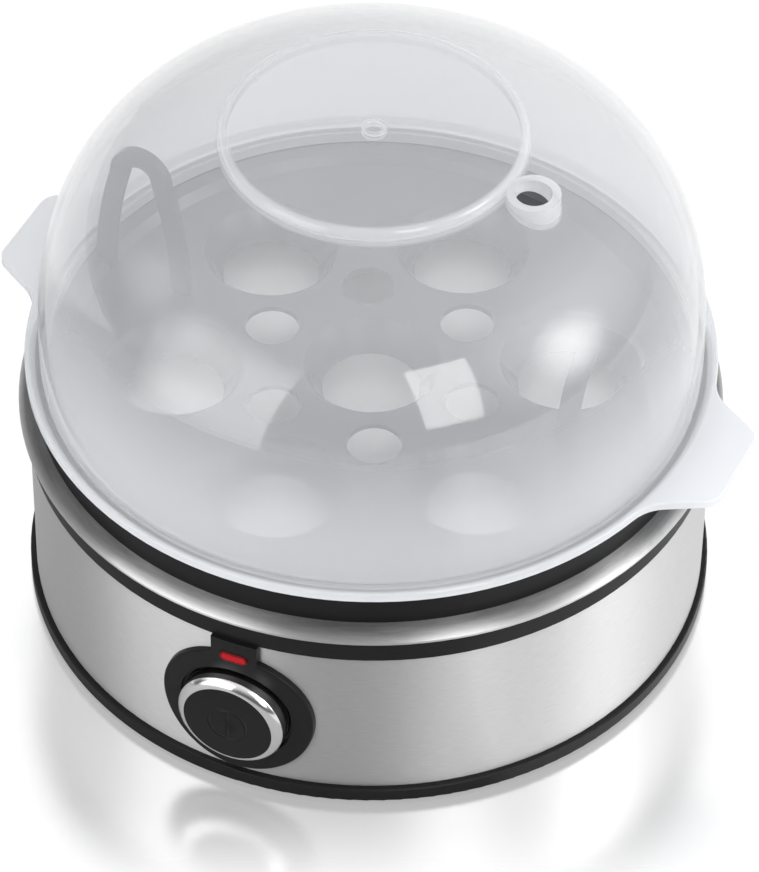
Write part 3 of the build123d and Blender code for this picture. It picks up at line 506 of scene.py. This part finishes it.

# %% [markdown]
# ## The button's spring
# A coil spring stands behind the button's cap, hidden by it. It is squeezed as the
# button goes in, which a CAD node can't show. A new helix could be drawn, but a copy
# of the node's own mesh keeps its turns and its wire. The copy's back end rests on
# the floor of the plate's well. The copy hangs from the base, and the node itself is
# hidden.

# %% Spring
coil = frame["nodes"]["button_spring"]
spring = bpy.data.objects.new("spring", coil.data.copy())
spring.matrix_world = coil.matrix_world
bpy.context.scene.collection.objects.link(spring)
ends = [(spring.matrix_world @ vertex.co).y for vertex in spring.data.vertices]
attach(spring, "base")
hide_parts("button_spring")
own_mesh(spring)

# %% [markdown]
# ## Flat sheets
# The floor and the white panels of the studio are the same kind of thing, a flat
# sheet with a finish. A plain grid of a few faces is enough, as nothing bends it.


# %% A sheet
SHEET_SIDE_FACES = 4


def sheet(name, width, height, recipe):
    """A flat stage piece round its own middle, which faces its own Z."""
    mesh = bpy.data.meshes.new(name)
    grid = bmesh.new()
    bmesh.ops.create_grid(grid, x_segments=SHEET_SIDE_FACES, y_segments=SHEET_SIDE_FACES, size=0.5)
    bmesh.ops.scale(grid, vec=(width, height, 1.0), verts=grid.verts)
    grid.to_mesh(mesh)
    grid.free()
    made = bpy.data.objects.new(name, mesh)
    bpy.context.scene.collection.objects.link(made)
    mesh.materials.append(finishes[recipe])
    return made


print("sheet:", SHEET_SIDE_FACES**2, "faces each")

# %% [markdown]
# ## The table's polish
# The cooker stands on a polished white table and is mirrored in it. The mirror image
# dies away a few centimetres from the cooker, where the polish is worn, and a little
# further out in front. The polish itself is perfectly sharp, so that the room can
# tell its rays and show them white too, and a fine ripple in it blurs the image.

# %% Polish
MIRROR, WORN = 0.56, 0.02
RIPPLE_SCALE, RIPPLE_DEPTH = 4000, 0.022 * MM
POLISH_FRONT, POLISH_SIDES = (-134 * MM, -90 * MM), (105 * MM, 125 * MM)
POLISH_AROUND, PAST_FRONT = (100 * MM, 140 * MM), (0.0, 60 * MM)
table = new_finish("floor_white")
spot = table.place()
depth, beside = table.along(spot, toward), table.along(spot, right).size()
in_front = depth.rise(*POLISH_FRONT) * (1.0 - beside.rise(*POLISH_SIDES))
around = 1.0 - table.away(spot).rise(*POLISH_AROUND)
polish = in_front + depth.rise(*PAST_FRONT) * (around - in_front)
polish = WORN + polish * (MIRROR - WORN)
ripple = table.bump(table.noise(spot, RIPPLE_SCALE), 1.0, RIPPLE_DEPTH)
mirror = table.step("ShaderNodeBsdfGlossy", sockets={
    "Color": (1.0, 1.0, 1.0), "Roughness": 0.0, "Normal": ripple})
print("polish:", MIRROR, "at the cooker,", WORN, "where worn")

# %% [markdown]
# ## The table itself
# The camera sees the table burnt out to white. More lamps would do that, but they
# would burn out the cooker too, so the table has a glow of its own for the camera.
# Steel and plastic that mirror the table see a painted copy of it: greyer, a painted
# shade, with a painted pool of light on the side where the panels stand and further
# out behind the cooker, which gives the sleeve its dark left and its bright right.
# The floor is so large that sampling it as a lamp would only add grain, so that is
# turned off.

# %% Floor
PANELS_FROM, PANELS_TO, FAR_FLOOR = (-0.86, -0.74), (1.4, 2.4), (80 * MM, 160 * MM)
UNLIT, LIT, FAR_LIT = 0.04, 0.84, 0.97
TABLE_GLOW, GLOW_FOR_ALL, GLOW_FOR_CAMERA = 1.08, 0.2, 0.65
paper = table.step("ShaderNodeBsdfDiffuse", sockets={"Color": (0.88, 0.88, 0.88)})
painted_dim_paper = table.step("ShaderNodeBsdfDiffuse", sockets={"Color": (0.40, 0.40, 0.40)})
glow = table.step("ShaderNodeEmission", sockets={"Color": (1.0, 1.0, 1.0), "Strength": TABLE_GLOW})
seen = table.light_path("Is Camera Ray")
glossy = table.light_path("Is Glossy Ray")
turn = table.turn(spot)
# Painted light: a glow painted into the table on the panels' side and further out, seen only in
# reflections.
painted_glow_share = UNLIT + turn.rise(*PANELS_FROM) * (1.0 - turn.rise(*PANELS_TO)) * (LIT - UNLIT)
mirrored = table.mix(painted_glow_share + depth.rise(*FAR_FLOOR) * (FAR_LIT - painted_glow_share), painted_dim_paper, glow)
bare_table = table.mix(GLOW_FOR_ALL + seen * GLOW_FOR_CAMERA, paper, glow)
lit = table.mix(glossy, bare_table, mirrored)
table.step("ShaderNodeOutputMaterial", sockets={
    "Surface": table.mix(polish * seen + 0.01, lit, mirror)})
finishes["floor_white"].cycles.emission_sampling = "NONE"
floor = sheet("floor", 12.0, 12.0, "floor_white")
print("floor:", [round(v, 2) for v in floor.dimensions])

# %% [markdown]
# ## The room
# Behind the table hangs a white sheet, brighter on the right. In front of it the
# room is dim, darkest at the height of the horizon and lighter overhead. The sheet
# could be one more flat piece, but written into the world it shows no edge.
# The camera itself sees plain white wherever it sees the room, also in the polish
# of the table, which is the only perfectly sharp mirror here.

# %% World
ROOM_LOW, ROOM_OVERHEAD, SHEET_LEFT, SHEET_RIGHT = 0.12, 0.92, 0.54, 1.0
world = bpy.data.worlds.new("studio")
bpy.context.scene.world = world
air = Recipe(world)
look = air.place("Generated")
height = air.part_of(look, "Z")
behind, aside = air.along(look, toward), air.along(look, right)
sheet_light = SHEET_LEFT + aside.rise(-0.8, 0.1) * (SHEET_RIGHT - SHEET_LEFT)
dim = ROOM_LOW + height.rise(0.20, 0.95) * (ROOM_OVERHEAD - ROOM_LOW)
dim = dim + behind.rise(0.05, 0.5) * (sheet_light - dim)
room = air.step("ShaderNodeBackground", sockets={"Color": dim, "Strength": 1.0})
white = air.step("ShaderNodeBackground", sockets={"Color": (1.0, 1.0, 1.0), "Strength": 1.0})
seen = air.light_path("Is Camera Ray") + air.light_path("Is Singular Ray")
air.step("ShaderNodeOutputWorld", sockets={"Surface": air.mix(seen, room, white)})
print("room:", ROOM_LOW, "to", ROOM_OVERHEAD, "in front,", SHEET_LEFT, "to", SHEET_RIGHT, "behind")

# %% [markdown]
# ## The panels
# White panels stand in the room. Their reflections are the bright patches in the
# dome, on the sleeve and on the chrome, so each panel stands where its patch on the
# dome looks to. Area lamps would do, but a sheet with a glow can fade softly to one
# side, as those patches do. Its glow is added to what lies behind it, so that two
# panels may stand one before the other.

# %% Panels
PANELS_LOOK_AT = 100 * MM


def panel(name, azimuth, elevation, width, height, strength, soft=0.05, crisp=None,
          round_off=False, reach=1.5):
    """A glowing sheet seen from the cooker at two angles, facing it. Sizes in degrees.

    Soft is the share of its half width over which it fades, crisp the same on its right.
    """
    glow = new_finish(name)
    spot = glow.place()
    half_width = reach * math.tan(math.radians(width / 2))
    half_height = reach * math.tan(math.radians(height / 2))
    side = glow.part_of(spot, "X") / half_width
    out_x, out_y = side.size(), glow.part_of(spot, "Y").size() / half_height
    if round_off:
        cover = 1.0 - ((out_x * out_x + out_y * out_y) ** 0.5).rise(1.0 - soft, 1.0)
    else:
        right_fade = soft if crisp is None else crisp
        cover = side.rise(-1.0, right_fade - 1.0) * (1.0 - side.rise(1.0 - soft, 1.0))
        cover = cover * (1.0 - out_y.rise(1.0 - soft, 1.0))
    shine = glow.step("ShaderNodeEmission", sockets={"Color": cover, "Strength": strength})
    gone = glow.step("ShaderNodeBsdfTransparent", sockets={"Color": (1.0, 1.0, 1.0)})
    glow.step("ShaderNodeOutputMaterial", sockets={
        "Surface": glow.step("ShaderNodeAddShader", sockets={0: gone, 1: shine})})
    made = sheet(name, 2 * half_width, 2 * half_height, name)
    turn, lift = math.radians(azimuth), math.radians(elevation)
    direction = Vector((
        math.cos(turn) * math.cos(lift), math.sin(turn) * math.cos(lift), math.sin(lift)))
    made.location = direction * reach + Vector((0, 0, PANELS_LOOK_AT))
    made.rotation_mode = "QUATERNION"
    made.rotation_quaternion = (-direction).to_track_quat("Z", "Y")
    made.visible_camera = False
    return made


panel("window", -41.5, 30.5, 19.5, 36.0, 3.8, soft=0.04)
panel("left_bank", -123.0, 18.0, 50.0, 62.0, 2.5, soft=0.7, crisp=0.04, reach=0.4)
panel("right_bank", 10.0, 27.0, 84.0, 74.0, 2.0, soft=0.95, round_off=True)
panel("right_core", 5.0, 22.0, 34.0, 42.0, 4.8, soft=0.95, round_off=True, reach=1.4)
panel("far_left", -166.0, 32.0, 30.0, 40.0, 0.9, soft=0.9)
